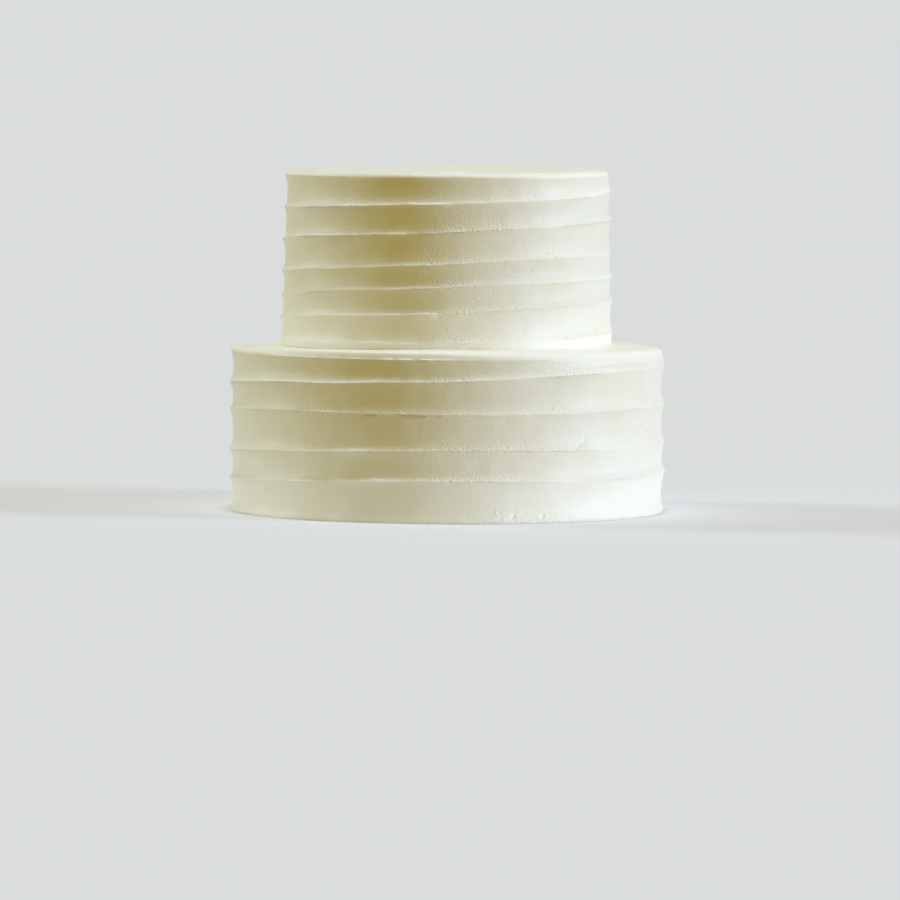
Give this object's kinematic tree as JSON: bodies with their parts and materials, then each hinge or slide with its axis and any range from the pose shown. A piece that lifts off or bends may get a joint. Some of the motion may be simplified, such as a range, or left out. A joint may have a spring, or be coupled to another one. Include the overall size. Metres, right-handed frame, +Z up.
{
  "type": "wedding cake",
  "caption": "Tiered round wedding cake in ivory buttercream, with a spiral ridge that winds up the side of each tier.",
  "frame": {"origin": "middle of the flat underside of the lower tier", "axes": "+Z up through the middle of both tiers, -Y towards the viewer, +X to the viewer's right"},
  "size_m": [0.2181, 0.2179, 0.1713],
  "materials": {
    "lower_tier_buttercream": "satin",
    "upper_tier_buttercream": "satin"
  },
  "bodies": {
    "root": {"lower_tier": "lower_tier_buttercream", "upper_tier": "upper_tier_buttercream"}
  },
  "joints": []
}
